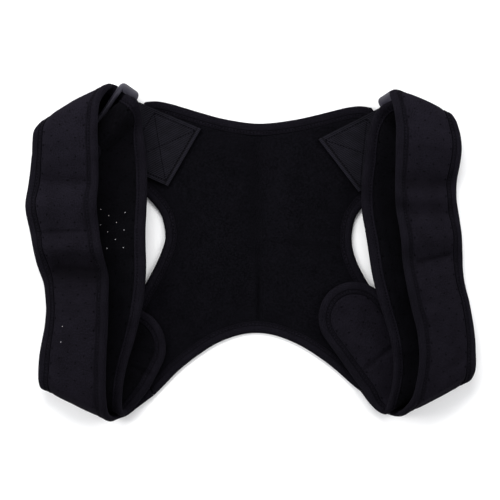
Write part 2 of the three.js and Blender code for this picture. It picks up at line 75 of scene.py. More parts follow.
leftSide = {
    "name": "left",
    "hand": -1,
    "ring": {"x": -0.629, "y": 0.763, "yaw": 55.6, "tilt": 32},
    "patch": {"x": -0.29, "y": 0.557, "yaw": 60},
    # The left tab's upper face takes the darker under-face cloth, partly painted shade.
    "tab": "strapBack",
    "outward": table(
        strapColumns,
        "-0.577 -0.483 0 0 -62 0 0.96 0, -0.701 -0.584 0 0 -51 0 0.99 0",
        "-0.834 -0.69 0 0 -37 0 1.08 0, -0.9 -0.755 0 0.03 -29 0.4 1.1 0",
        "-0.924 -0.788 0 0.17 -25.5 5 1.08 0.02, -0.932 -0.757 0 0.29 -25 10 1.06 0.03",
        "-0.933 -0.697 0 0.34 -22.5 13 1.03 0.03, -0.927 -0.592 0 0.27 -14 18 0.98 0.03",
        "-0.907 -0.434 0 0.15 -6 23.5 0.95 0.04, -0.903 -0.316 0 0.1 1.5 24.5 0.95 0.05",
        "-0.913 -0.196 0 0.075 3.5 24 0.97 0.04, -0.945 -0.074 0 0.04 2 21 1 -0.01",
        "-0.961 0.027 0 0.11 0.5 21.5 1.02 0.05, -0.976 0.121 0 0.03 -0.5 21 1.03 -0.01",
        "-0.995 0.275 0 0.09 1 20 1.05 0.04, -0.982 0.4 0 0.04 1 19 1.02 -0.01",
        "-0.965 0.552 0 0.22 3 20 0.98 0.03, -0.959 0.638 0 0.37 14 17.5 0.97 0.04",
        "-0.953 0.69 0 0.44 25 13 1.03 0.03, -0.934 0.727 0 0.34 29 10 1.1 0.05",
        "-0.924 0.741 0 0.17 29.5 8 1.1 0.04, -0.903 0.73 0 0.065 33 5 1.07 0",
        "-0.843 0.696 0 0.02 40 4 1.01 0",
    ),
    "pass": table(
        passColumns,
        "-0.42 -0.09 0 0 0.92 0, 0 0 0 0 0.92 0",
        "0.13 0.31 -2 0 0.92 -0.03, 0.02 0.63 -6 2 0.92 -0.06",
        "0.42 0.8 -8 3 0.94 -0.07",
    ),
    "homeward": table(
        strapColumns,
        "-0.704 0.522 0 0.35 43 0 0.94 -0.04, -0.732 0.445 0 0.3 36 0 0.98 -0.02",
        "-0.751 0.333 0 0.24 24 3 0.99 0, -0.75 0.216 0 0.15 12.5 7.5 0.93 0",
        "-0.755 0.068 0 0.1 4.5 11.5 0.92 -0.02, -0.755 -0.139 0 0.1 0 13 0.93 -0.02",
        "-0.765 -0.346 0 0.15 0.5 12 0.9 -0.02, -0.785 -0.493 0 0.22 -2.5 8.5 0.86 -0.01",
        "-0.81 -0.651 0 0.29 -4.5 6 0.82 0, -0.824 -0.756 0 0.33 -12 4.5 0.82 0",
        "-0.835 -0.811 0 0.24 -21 2 0.9 0, -0.814 -0.783 1 0 -25 0 0.92 0",
        "-0.748 -0.635 1 0 -30.5 0 0.98 0, -0.673 -0.464 1 -0.01 -30.5 0 0.98 0",
        "-0.596 -0.254 1 -0.03 -30.5 0 0.98 0",
    ),
    "creases": table(
        creaseColumns,
        "-0.924 0.112 -0.75 0.118 1.8 1.6 10 16, -0.84 -0.115 -0.66 -0.13 13 4.5 8 14",
        "-0.86 -0.105 -0.66 -0.12 4 1.5 8 14, -0.9 0.42 -0.72 0.41 6 1.6 13 18",
        "-0.526 -0.679 -0.444 -0.727 2.2 1.6 39 43, -0.56 -0.56 -0.44 -0.6 4 1.2 39 43",
    ),
}
rightSide = {
    "name": "right",
    "hand": 1,
    "ring": {"x": 0.698, "y": 0.72, "yaw": 122.7, "tilt": 38},
    "patch": {"x": 0.392, "y": 0.509, "yaw": 127.5},
    "tab": "strapCloth",
    "outward": table(
        strapColumns,
        "0.644 -0.465 0 0 -119.5 0 0.95 0, 0.777 -0.578 0 0 -133 0 1.05 0",
        "0.888 -0.679 0 0 -145 0 1.1 0, 0.949 -0.731 0 0.03 -151.5 0.3 1.12 0",
        "0.977 -0.741 0 0.17 -153 5 1.1 0.02, 0.993 -0.698 0 0.29 -152 9.5 1.08 0.03",
        "0.996 -0.644 0 0.34 -151 12.5 1.02 0.03, 0.995 -0.574 0 0.29 -155 18 0.93 0.03",
        "0.99 -0.469 0 0.22 -158 22.5 0.89 0.04, 0.974 -0.328 0 0.12 -158.5 26 0.89 0.05",
        "0.957 -0.228 0 0.075 -162 27 0.9 0.05, 0.944 -0.145 0 0.09 -169 26.5 0.89 0.04",
        "0.942 -0.027 0 0.03 -174.5 23.5 0.91 -0.01, 0.937 0.092 0 0.09 -179 24.5 0.93 0.05",
        "0.922 0.246 0 0.04 -178.5 22 0.92 -0.01, 0.914 0.322 0 0.09 -179 23 0.92 0.03",
        "0.92 0.441 0 0.1 -179 20.5 0.92 0, 0.933 0.587 0 0.3 177 18 0.95 0.04",
        "0.925 0.697 0 0.34 171.5 19 0.94 0.04, 0.911 0.751 0 0.39 165 16 0.94 0.03",
        "0.895 0.786 0 0.29 158.5 13 0.95 0.05, 0.884 0.794 0 0.17 156 11 0.76 0.03",
        "0.86 0.787 0 0.05 151 8.5 0.655 0, 0.816 0.732 0 0.02 137 5 0.64 0",
    ),
    "pass": table(
        passColumns,
        "-0.39 -0.04 0 0 0.91 0, 0 0.01 0 0 0.91 0",
        "0.38 0.12 4 0 0.92 -0.02",
    ),
    "homeward": table(
        strapColumns,
        "0.757 0.485 0 0.34 131 1 0.97 -0.03, 0.765 0.43 0 0.28 141 2 0.95 -0.02",
        "0.79 0.38 0 0.2 155 5 0.95 0, 0.79 0.31 0 0.13 166 8 0.94 0",
        "0.79 0.216 0 0.12 175 8.5 0.92 -0.01, 0.807 0.068 0 0.1 -180 11.5 0.91 -0.02",
        "0.825 -0.098 0 0.1 -176.5 13.5 0.91 -0.02, 0.851 -0.263 0 0.15 -173 12 0.88 -0.02",
        "0.87 -0.416 0 0.22 -173.5 9.5 0.82 -0.01, 0.883 -0.569 0 0.27 -176.5 8 0.79 0",
        "0.882 -0.674 0 0.29 -171.5 6 0.78 0, 0.864 -0.745 0 0.34 -163.5 3 0.79 0",
        "0.84 -0.786 0 0.26 -154 1.2 0.85 0, 0.797 -0.753 1 0 -152.5 0 0.85 0",
        "0.758 -0.572 1 0 -144 0 0.97 0, 0.653 -0.38 1 -0.01 -144 0 0.97 0",
        "0.497 -0.093 1 -0.03 -144 0 0.97 0",
    ),
    "creases": table(
        creaseColumns,
        "0.737 -0.061 0.877 -0.018 2.2 2.4 9 15, 0.72 0.22 0.88 0.225 4 1.1 12 17",
        "0.7 0.405 0.88 0.405 9 3.2 13 19, 0.509 -0.697 0.629 -0.565 2.2 1.6 39 44",
    ),
}
sides = [leftSide, rightSide]


# A direction at an angle from +X, raised by another angle, both in degrees.
def heading(yaw, rise=0):
    yaw, rise = math.radians(yaw), math.radians(rise)
    return np.array([math.cos(rise) * math.cos(yaw), math.cos(rise) * math.sin(yaw), math.sin(rise)])


# A smooth curve through points, read at places counted in points.
def smoothCurve(points):
    p = np.array(points, float)
    p = np.vstack([2 * p[0] - p[1], p, 2 * p[-1] - p[-2]])

    def at(k):
        k = np.clip(np.asarray(k, float), 0, len(p) - 3)
        i = np.minimum(k.astype(int), len(p) - 4)
        w = (k - i)[..., None]
        a, b, c, d = (p[i + j] for j in range(4))
        gap = lambda s, e: ((s - e) ** 2).sum(-1, keepdims=True) ** 0.25
        ab, bc, cd = gap(a, b), gap(b, c), gap(c, d)
        bc = np.where(bc < 1e-4, 1, bc)
        ab, cd = np.where(ab < 1e-4, bc, ab), np.where(cd < 1e-4, bc, cd)
        start = ((b - a) / ab - (c - a) / (ab + bc) + (c - b) / bc) * bc
        end = ((c - b) / bc - (d - b) / (bc + cd) + (d - c) / cd) * bc
        return b + start * w + (3 * (c - b) - 2 * start - end) * w**2 + (2 * (b - c) + start + end) * w**3

    return at


def unit(v):
    return v / np.maximum(np.linalg.norm(v, axis=-1, keepdims=True), 1e-9)


def ease(low, high, x):
    t = np.clip((np.asarray(x, float) - low) / (high - low), 0, 1)
    return t * t * (3 - 2 * t)


# A smooth rise and fall about a middle.
def hump(x, middle, width):
    return np.exp(-(((x - middle) / width) ** 2))


# How far along a line of points each one lies.
def runAlong(points):
    return np.concatenate([[0], np.cumsum(np.linalg.norm(np.diff(points, axis=0), axis=1))])


# What stands at each point of a line, read at other distances along it.
def readAt(marks, run, data):
    return np.stack([np.interp(marks, run, data[:, i]) for i in range(3)], axis=1)


# A band of cloth through lines across it. k counts rows, v is mm from the middle line and n mm off the face.
class Band:
    def __init__(self, lines, width, hand, relief=None):
        self.width, self.hand, self.relief = width, hand, relief
        self.centre = smoothCurve([line["centre"] for line in lines])
        self.across = smoothCurve([line["across"] for line in lines])
        self.crown = smoothCurve([[line["crown"]] for line in lines])
        self.last = len(lines) - 1
        self.fine = np.linspace(0, self.last, self.last * 60 + 1)
        self.lengths = runAlong(self.centre(self.fine))
        self.total = self.lengths[-1]

    def rowAt(self, length):
        return np.interp(length, self.lengths, self.fine)

    def lengthAt(self, k):
        return np.interp(k, self.fine, self.lengths)

    def ruled(self, k, v):
        return self.centre(k) + self.across(k) * np.asarray(v, float)[..., None]

    def normal(self, k, v):
        ahead, behind = np.minimum(k + 0.04, self.last), np.maximum(k - 0.04, 0)
        return unit(np.cross(self.ruled(ahead, v) - self.ruled(behind, v), self.across(k))) * self.hand

    def point(self, k, v, n=0):
        k, v, n = np.broadcast_arrays(np.asarray(k, float), np.asarray(v, float), np.asarray(n, float))
        place = self.ruled(k, v)
        swell = self.crown(k)[..., 0] * self.width * (1 - (2 * v / self.width) ** 2)
        if self.relief:
            swell = swell + self.relief(k, v, place)
        return place + self.normal(k, v) * (swell + n)[..., None]


ringSize = {
    "bar": 4.8, "depth": 24, "corner": 5, "window": 69.28, "barGap": 19.2, "hookBarZ": 5.85,
    "endSwell": 1.0,  # how much wider the upper end's bar is on its outer side, as a share
    "endFill": 0.7,  # and on its inner side
    "squareness": 0.55, "cornerSteps": 9, "around": 20,
}


def ringPlace(side):
    ring, tilt = side["ring"], math.radians(side["ring"]["tilt"])
    level = heading(ring["yaw"] + 90 * side["hand"])
    across = level * math.cos(tilt) + np.array([0, 0, -math.sin(tilt)])
    height = ringSize["hookBarZ"] + ringSize["barGap"] / 2 * math.sin(tilt)
    middle = np.array([ring["x"] * halfSpread[0], ring["y"] * halfSpread[1], height])
    return {
        "along": heading(ring["yaw"]),
        "level": level,
        "across": across,
        "middle": middle,
        "hookBar": middle + across * ringSize["barGap"] / 2,
    }


def strapLines(side):
    ring, lines = ringPlace(side), []

    def lay(row):
        wide = heading(row["yaw"], row["rise"]) * row["span"]
        height = strapRest + row["plies"] * ply + row["lift"] * layout["loopHeight"]
        outer = np.array([row["x"] * halfSpread[0], row["y"] * halfSpread[1], height])
        centre = outer + wide * layout["strapWidth"] / 2
        lines.append({"centre": centre, "across": wide, "crown": row["crown"]})

    for row in side["outward"]:
        lay(row)
    for row in side["pass"]:
        centre = ring["middle"] + ring["level"] * row["across"] * ringSize["barGap"]
        centre[2] += row["up"] * ringSize["barGap"]
        wide = heading(side["ring"]["yaw"] + row["turn"], row["rise"]) * row["span"]
        lines.append({"centre": centre, "across": wide, "crown": row["crown"]})
    for row in side["homeward"]:
        lay(row)
    return lines


# How deep in mm each place lies in the side's creases.
def creaseDepth(side, k, place):
    depth = np.zeros(np.shape(k))
    for crease in side["creases"]:
        start = np.array([crease["x0"], crease["y0"]]) * halfSpread
        run = np.array([crease["x1"], crease["y1"]]) * halfSpread - start
        t = np.clip(((place[..., :2] - start) @ run) / (run @ run), 0, 1)
        away = np.linalg.norm(place[..., :2] - start - t[..., None] * run, axis=-1)
        near = ease(crease["first"], crease["first"] + 1, k) * ease(crease["last"], crease["last"] - 1, k)
        depth = depth + near * crease["depth"] * hump(away, 0, crease["width"])
    return depth


unevenness = {"broad": 0.22, "broadLength": 7.3, "fine": 0.16, "fineLength": 3.9}


# The cloth's lift off its smooth band: soft unevenness, less the creases.
def strapRelief(side):
    phase = 0.7 * side["hand"]

    def relief(k, v, place):
        x, y = place[..., 0], place[..., 1]
        broad = np.sin(y / unevenness["broadLength"] + v / 15 + phase) * np.sin(v / 11 + x / 19 + 2 * phase)
        fine = np.sin(y / unevenness["fineLength"] - v / 9 + phase) * np.cos(v / 17 + y / 31)
        return unevenness["broad"] * broad + unevenness["fine"] * fine - creaseDepth(side, k, place)

    return relief


# Painted light and shade on the strap: how much paler its upper part is painted, from where to where in mm,
# and how much darker its creases are painted.
toneSize = {"paintedLight": 0.55, "paintedLightFrom": -5, "paintedLightTo": 105, "creaseShade": 0.75, "fullDepth": 4.5}


# Painted shade darkens the cloth down in its creases, and painted light makes the outer length's upper part
# paler.
def strapPaintedShading(side, k, place):
    outer = len(side["outward"])
    paintedLight = ease(toneSize["paintedLightFrom"], toneSize["paintedLightTo"], place[..., 1]) * ease(outer + 1, outer - 1, k)
    creaseShade = np.clip(creaseDepth(side, k, place) / toneSize["fullDepth"], 0, 1)
    return (1 + toneSize["paintedLight"] * paintedLight) * (1 - toneSize["creaseShade"] * creaseShade) - 1


# Node maths: one socket of a node tree, which adds a Math node wherever it meets an operator.
class Wire:
    def __init__(self, tree, socket):
        self.tree, self.socket = tree, socket

    def node(self, kind, inputs, output=0, **settings):
        made = self.tree.nodes.new(kind)
        for name, value in settings.items():
            setattr(made, name, value)
        pairs = inputs.items() if isinstance(inputs, dict) else enumerate(inputs)
        for name, value in pairs:
            if isinstance(value, Wire):
                self.tree.links.new(value.socket, made.inputs[name])
            else:
                made.inputs[name].default_value = value
        return Wire(self.tree, made.outputs[output])

    def maths(self, operation, *values):
        return self.node("ShaderNodeMath", values, operation=operation)

    def sine(self):
        return self.maths("SINE", self)

    # Sine waves of a length in millimetres.
    def waves(self, length):
        return (self * (2 * math.pi / (length * mm))).sine()

    def noise(self, scale, detail=2.0, rough=0.5):
        inputs = {"Vector": self, "Scale": scale, "Detail": detail, "Roughness": rough}
        return self.node("ShaderNodeTexNoise", inputs)

    def part(self, name):
        return self.node("ShaderNodeSeparateXYZ", [self], name)

    def between(self, low, high):
        inputs = {"Value": self, "From Min": low, "From Max": high}
        return self.node("ShaderNodeMapRange", inputs, interpolation_type="SMOOTHSTEP")

    # Sockets 0, 6 and 7 are the Mix node's factor and its two colours, and 2 is the mixed colour.
    def mix(self, first, second):
        colours = {0: self, 6: (*first, 1), 7: (*second, 1)}
        return self.node("ShaderNodeMix", colours, 2, data_type="RGBA")


for name, operation in {"add": "ADD", "sub": "SUBTRACT", "mul": "MULTIPLY", "truediv": "DIVIDE"}.items():
    setattr(Wire, f"__{name}__", lambda self, other, kind=operation: self.maths(kind, self, other))
    setattr(Wire, f"__r{name}__", lambda self, other, kind=operation: self.maths(kind, other, self))


# A new material, with the shader's fixed settings, and where its pattern is read.
def startMaterial(name, settings, onSurface=False):
    material = bpy.data.materials.new(name)
    material.use_nodes = True
    tree = material.node_tree
    shader = tree.nodes["Principled BSDF"]
    for socket, value in settings.items():
        shader.inputs[socket].default_value = value
    if onSurface:
        return material, shader, Wire(tree, None).node("ShaderNodeUVMap", {}, "UV", uv_map="Surface")
    return material, shader, Wire(tree, None).node("ShaderNodeTexCoord", {}, "Object")


def feed(shader, colour, rough=None, height=None, strength=0.5, distance=0.0002):
    links = shader.id_data.links
    links.new(colour.socket, shader.inputs["Base Color"])
    if rough is not None:
        links.new(rough.socket, shader.inputs["Roughness"])
    if height is not None:
        inputs = {"Height": height, "Strength": strength, "Distance": distance}
        bump = height.node("ShaderNodeBump", inputs)
        links.new(bump.socket, shader.inputs["Normal"])


# A painted shade line round a tape or webbing, at a distance across it and half as wide as given, in
# millimetres.
def darkLine(across, place, width):
    away = (across - place * mm) / (width * mm)
    return 1 - (away * away).between(0, 1)


clothShine = {
    "Sheen Weight": 0.005, "Sheen Roughness": 0.5, "Sheen Tint": (0.9, 0.86, 1, 1),
    "Specular IOR Level": 0.014,
}


# Knitted or woven cloth: rows of small loops, mottled, with a faint nap. The dark lines given across a tape
# are painted shade along its edge and grooves, and a point attribute adds painted light and shade.
def clothMaterial(name, dark, light, loops, depth, onSurface=True, seams=()):
    material, shader, place = startMaterial(name, clothShine, onSurface)
    x, y = place.part("X"), place.part("Y")
    knit = x.waves(loops[0]) * y.waves(loops[1])
    mottle, grain, speck = place.noise(55, 2.0, 0.5), place.noise(860, 3.0, 0.75), place.noise(1900, 1.0, 0.5)
    shade = (mottle * 0.13 + grain * 0.87 + knit * 0.06).between(0.33, 0.68)
    # Each dark line given is painted shade.
    for shadeLine in seams:
        shade = shade * (1 - 0.85 * darkLine(x, *shadeLine))
    # Painted light and shade, from the piece's point attribute.
    shade = shade * (1 + place.node("ShaderNodeAttribute", {}, "Fac", attribute_name="PaintedShading"))
    height = knit * 0.5 + speck * 0.7 + grain * 0.4
    feed(shader, shade.mix(dark, light), 0.82 + speck * 0.15, height, depth, 0.0003)
    return material


# Webbing: ribs run along it, each crossed by its fine picks, and its end is turned in and sewn down.
def webbingMaterial():
    fixed = {"Sheen Weight": 0.008, "Sheen Roughness": 0.4, "Specular IOR Level": 0.05}
    material, shader, place = startMaterial("webbing", fixed, onSurface=True)
    x, y = place.part("X"), place.part("Y")
    ribs = x.waves(1.65)
    picks = (y * (2 * math.pi / (1.3 * mm)) + ribs * 1.4).sine()
    grain, mottle = place.noise(800, 2.0, 0.6), place.noise(80, 2.0, 0.6)
    shade = (ribs * 0.12 + picks * 0.12 + grain * 0.45 + mottle * 0.4 + 0.02).between(0.1, 0.85)
    turned = 1 - y.between(2.4 * mm, 3.2 * mm)
    # The dark line just past the turned-in end is painted shade at its edge.
    shade = (shade + turned * 0.25) * (1 - 0.7 * darkLine(y, 3.7, 0.9))
    colour = shade.mix((0.001, 0.0009, 0.0014), (0.0108, 0.0101, 0.0152))
    feed(shader, colour, 0.62 + grain * 0.2, ribs * 0.8 + picks * 0.3, 0.6, 0.0003)
    return material


def plasticMaterial():
    material, shader, place = startMaterial("moulded plastic", {"Specular IOR Level": 0.3})
    grain, smudge = place.noise(900, 2.0, 0.5), place.noise(60, 2.0, 0.5)
    colour = smudge.between(0.3, 0.7).mix((0.027, 0.025, 0.036), (0.043, 0.041, 0.056))
    feed(shader, colour, 0.3 + smudge * 0.2, grain, 0.15, 0.0001)
    return material


def threadMaterial():
    material, shader, place = startMaterial("thread", {"Specular IOR Level": 0.012})
    twist = place.noise(2500, 1.0, 0.5)
    colour = twist.between(0.3, 0.7).mix((0.001, 0.0009, 0.0013), (0.0034, 0.003, 0.0045))
    feed(shader, colour, 0.75 + twist * 0.2, twist, 0.3, 0.0001)
    return material


def plainMaterial(name, colour, roughness):
    material, shader, place = startMaterial(name, {"Roughness": roughness, "Specular IOR Level": 0.004})
    feed(shader, place.noise(700, 1.0, 0.5).mix([0.85 * c for c in colour], colour))
    return material


# Painted shade lines on the tape: at its inner edge, in the valley by the stitches and along the roll's fold.
tapeShadeLines = [(0.3, 1.0), (1.9, 0.45), (5.0, 0.6)]  # mm from the inner edge, and half widths
clothLooks = [
    ("strapCloth", "strap cloth", (0.0014, 0.0012, 0.0017), (0.0098, 0.0087, 0.013), (1.3, 1.1), 0.35),
    # The strap's under face is darker partly as its own darker face and partly as painted shade, for the far
    # lengths and the left tab that lie in shadow.
    ("strapBack", "strap back", (0.0004, 0.0004, 0.0005), (0.0036, 0.0034, 0.0047), (1.6, 1.3), 0.35),
    ("lining", "lining", (0.0008, 0.0008, 0.0011), (0.0041, 0.0038, 0.0055), (1.6, 1.2), 0.35, False),
    ("tape", "tape", (0.0011, 0.001, 0.0014), (0.0086, 0.0077, 0.0114), (0.9, 1.6), 0.3, True, tapeShadeLines),
]
finishes = {key: clothMaterial(*look) for key, *look in clothLooks}
finishes["webbing"] = webbingMaterial()
finishes["plastic"] = plasticMaterial()
finishes["thread"] = threadMaterial()
# Flat dark discs stand for the holes, painted shade where the cloth is not cut through.
finishes["hole"] = plainMaterial("hole", (0.0005, 0.0005, 0.0006), 0.95)
# Pale discs are painted light, for the lit ground seen through a few holes.
finishes["seeThroughLight"] = plainMaterial("open hole", (0.75, 0.74, 0.78), 0.8)
print("materials made")


# From the layout's millimetres to the frame's metres, with nothing below the floor.
def toFrame(points):
    placed = np.array(points, float).reshape(-1, 3) + [layout["shiftX"], layout["shiftY"], 0]
    placed[:, 2] = np.maximum(placed[:, 2], 0.02)
    return placed * mm


def makePiece(name, points, faces, materials, uv=None, kinds=None, tone=None):
    mesh = bpy.data.meshes.new(name)
    mesh.from_pydata(toFrame(points).tolist(), [], faces)
    for material in materials:
        mesh.materials.append(material)
    if kinds is not None:
        mesh.polygons.foreach_set("material_index", kinds)
    # A point attribute holds the piece's painted light and shade, as a share by which the cloth's colour is
    # lightened or darkened.
    if tone is not None:
        layer = mesh.attributes.new("PaintedShading", "FLOAT", "POINT")
        layer.data.foreach_set("value", np.asarray(tone, float).ravel())
    if uv is not None:
        layer = mesh.uv_layers.new(name="Surface")
        corner = np.zeros(len(mesh.loops), int)
        mesh.loops.foreach_get("vertex_index", corner)
        layer.data.foreach_set("uv", (np.asarray(uv, float).reshape(-1, 2)[corner] * mm).ravel())
    work = bmesh.new()
    work.from_mesh(mesh)
    bmesh.ops.recalc_face_normals(work, faces=work.faces)
    work.to_mesh(mesh)
    work.free()
    mesh.polygons.foreach_set("use_smooth", [True] * len(mesh.polygons))
    piece = bpy.data.objects.new(name, mesh)
    scene.collection.objects.link(piece)
    return piece


# Both faces of a sheet as rings round it, from values at the points of each.
def wrapRound(top, under):
    return np.concatenate([top, under[:, ::-1]], axis=1)


# A piece through rings of the same number of points, with flat ends or closed in a loop.
def makeTube(name, points, materials, looped=False, **looks):
    rings, count = points.shape[:2]
    faces = []
    for i in range(rings if looped else rings - 1):
        for j in range(count):
            a, b = i * count + j, i * count + (j + 1) % count
            faces.append((a, b, (b + count) % (rings * count), (a + count) % (rings * count)))
    if not looped:
        faces.append(tuple(range(count)))
        faces.append(tuple(range((rings - 1) * count, rings * count)))
    return makePiece(name, points, faces, materials, **looks)


# Where each point of a tube's rings lies on its surface, in mm round it and along it.
def surfaceMap(across, along):
    return np.stack(np.broadcast_arrays(across, along[:, None]), axis=-1)


def finishPiece(piece, slotName, *nodes):
    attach(piece, "root")
    if nodes:
        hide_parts(*nodes)


# Geometry Nodes that set a small shape on each guide point, turned to that point's own way along and way up.
def settingTree(name, shape):
    tree = bpy.data.node_groups.new(name, "GeometryNodeTree")
    tree.interface.new_socket("Geometry", in_out="OUTPUT", socket_type="NodeSocketGeometry")
    kinds = {"Geometry": "Geometry", "Seed": "Int", "Material": "Material"}
    for label in ("Geometry", "Length", "Width", "Height", "Slant", "Unevenness", "Seed", "Material"):
        tree.interface.new_socket(label, in_out="INPUT", socket_type="NodeSocket" + kinds.get(label, "Float"))

    source = {socket.name: Wire(tree, socket) for socket in tree.nodes.new("NodeGroupInput").outputs}
    add = Wire(tree, None).node
    along, up = (
        add("GeometryNodeInputNamedAttribute", {"Name": label}, data_type="FLOAT_VECTOR")
        for label in ("along", "up")
    )
    points = add("GeometryNodeMeshToPoints", {"Mesh": source["Geometry"]})
    forward = add("FunctionNodeAlignRotationToVector", {"Vector": along}, axis="X")
    facing = {"Rotation": forward, "Vector": up}
    upright = add("FunctionNodeAlignRotationToVector", facing, axis="Z", pivot_axis="X")
    index = add("GeometryNodeInputIndex", {})
    swing = index.maths("MODULO", index, 2.0) * 2.0 - 1.0  # every other one slants back
    limits = {2: -1.0, 3: 1.0, "ID": index, "Seed": source["Seed"]}
    jitter = add("FunctionNodeRandomValue", limits, 1, data_type="FLOAT")
    slant = swing * source["Slant"] + jitter * source["Unevenness"]
    turn = add("FunctionNodeAxisAngleToRotation", {"Axis": (0, 0, 1), "Angle": slant})
    turned = add("FunctionNodeRotateRotation", {0: upright, 1: turn}, rotation_space="LOCAL")
    size = add("ShaderNodeCombineXYZ", {0: source["Length"], 1: source["Width"], 2: source["Height"]})
    if shape == "bead":
        unitShape = add("GeometryNodeMeshUVSphere", {"Segments": 6, "Rings": 4, "Radius": 0.5})
    else:
        cylinder = {"Vertices": 10, "Radius": 0.5, "Depth": 1.0}
        unitShape = add("GeometryNodeMeshCylinder", cylinder, fill_type="NGON")
    inputs = {"Points": points, "Instance": unitShape, "Rotation": turned, "Scale": size}
    placed = add("GeometryNodeInstanceOnPoints", inputs)
    real = add("GeometryNodeRealizeInstances", {"Geometry": placed})
    smooth = add("GeometryNodeSetShadeSmooth", {"Geometry": real, "Shade Smooth": shape == "bead"})
    painted = add("GeometryNodeSetMaterial", {"Geometry": smooth, "Material": source["Material"]})
    tree.links.new(painted.socket, tree.nodes.new("NodeGroupOutput").inputs["Geometry"])
    return tree


settingTrees = {"bead": settingTree("set stitches", "bead"), "disc": settingTree("set holes", "disc")}


# The named shape at each guide point, as one plain mesh.
def setAlong(name, shape, points, along, up, sizes, material):
    guide = bpy.data.meshes.new(name)
    guide.from_pydata(toFrame(np.vstack(points)).tolist(), [], [])
    for label, data in (("along", along), ("up", up)):
        layer = guide.attributes.new(label, "FLOAT_VECTOR", "POINT")
        layer.data.foreach_set("vector", np.vstack(data).astype(float).ravel())
    piece = bpy.data.objects.new(name, guide)
    scene.collection.objects.link(piece)
    tree = settingTrees[shape]
    modifier = piece.modifiers.new("set along", "NODES")
    modifier.node_group = tree
    values = {**sizes, "Material": material}
    values.update({label: sizes[label] * mm for label in ("Length", "Width", "Height")})
    for item in tree.interface.items_tree:
        if item.item_type == "SOCKET" and item.in_out == "INPUT" and item.name in values:
            modifier[item.identifier] = values[item.name]
    bpy.context.view_layer.update()
    mesh = bpy.data.meshes.new_from_object(piece.evaluated_get(bpy.context.evaluated_depsgraph_get()))
    piece.modifiers.clear()
    piece.data = mesh
    return piece


strapSize = {
    "pitch": 1.7,  # mm between rows of faces along the strap
    "columns": 36,
    "edgeEase": 2.2,  # the cloth stops this far inside the tape's outer edge
    "rim": 1.15,  # half thickness under the tape
    "body": 1.95,  # half thickness in the middle
    "tabSteps": 26,
    "bottomFold": 11,  # the homeward row after which the tab begins
}
tapeSize = {
    "band": 12, "slot": 1.3, "slotStart": 2, "stitchLine": 9.0, "stitchHeight": 2.15,
    "panelFlatten": 2.1 / 2.95,  # the panel's tape is flatter than the straps'
    "panelStitchHeight": 1.52,
}
tapeProfile = table(
    "x y",
    "12.1 1.5, 12.0 1.95, 11.3 2.2, 10.4 2.12, 9.6 1.98, 8.8 1.96, 8.0 2.12, 7.0 2.5",
    "5.8 2.8, 4.4 2.95, 3.0 2.9, 1.8 2.6, 0.9 2.0, 0.3 1.1, 0 0",
)
stitchSize = {"Length": 1.8, "Width": 1.25, "Height": 0.5, "Slant": 0.6, "Unevenness": 0.16, "Seed": 7}
stitchPitch = 3.1


def strapMesh(side, band):
    half = layout["strapWidth"] / 2
    full = half - strapSize["edgeEase"]
    straight = band.total - half
    lengths = np.linspace(0, straight, int(straight / strapSize["pitch"]))
    widths = np.full(len(lengths), full)
    angles = np.linspace(0, math.pi / 2, strapSize["tabSteps"])[1:] * 0.985
    lengths = np.concatenate([lengths, straight + full * np.sin(angles)])
    widths = np.concatenate([widths, full * np.cos(angles)])
    share = np.sin(np.linspace(-1, 1, strapSize["columns"]) * math.pi / 2 * 0.93)
    v = widths[:, None] * (share / share[-1])[None, :]
    k = band.rowAt(lengths)[:, None]
    inTab = np.maximum(lengths - straight, 0)[:, None]
    reach = half - np.hypot(v, inTab)
    thick = strapSize["rim"] + (strapSize["body"] - strapSize["rim"]) * ease(8, 18, reach)
    top, under = band.point(k, v, thick), band.point(k, v, -thick)
    uv = surfaceMap(v + half, lengths)
    # Painted light and shade on the upper face only.
    tone = wrapRound(strapPaintedShading(side, k, top), np.zeros(v.shape))
    columns = strapSize["columns"]
    tabStart = band.lengthAt(len(side["outward"]) + len(side["pass"]) + strapSize["bottomFold"])
    kinds = []  # 0 is the cloth, 1 its under face and 2 the tab's upper face
    for length in lengths[:-1]:
        kinds += [2 if length > tabStart else 0] * columns + [1] * columns
    kinds += [2, 2]
    cloths = [finishes["strapCloth"], finishes["strapBack"], finishes[side["tab"]]]
    name = f"{side['name']}_strap_cloth"
    return makeTube(name, wrapRound(top, under), cloths, uv=wrapRound(uv, uv), kinds=kinds, tone=tone)


# Marks along the tape's path: up one edge, round the tab and back along the other.
def tapePath(band):
    half = layout["strapWidth"] / 2
    straight = band.total - half
    edge = np.linspace(0, straight, int(straight / strapSize["pitch"]))
    turns = np.linspace(-math.pi / 2, math.pi / 2, 2 * strapSize["tabSteps"] + 1)[1:-1]
    u = np.concatenate([edge, straight + half * np.cos(turns), edge[::-1]])
    v = np.concatenate([np.full(len(edge), -half), half * np.sin(turns), np.full(len(edge), half)])
    inU = np.concatenate([np.zeros(len(edge)), -np.cos(turns), np.zeros(len(edge))])
    inV = np.concatenate([np.ones(len(edge)), -np.sin(turns), -np.ones(len(edge))])
    return u, v, inU, inV


def tapeSection():
    outer = [(p["x"], p["y"]) for p in tapeProfile]
    under = [(x, -y) for x, y in reversed(outer[:-1])]
    deep, near, high = tapeSize["band"] - 0.1, tapeSize["slotStart"], tapeSize["slot"]
    return np.array(outer + under + [(deep, -high), (near, -high), (near, high), (deep, high)])


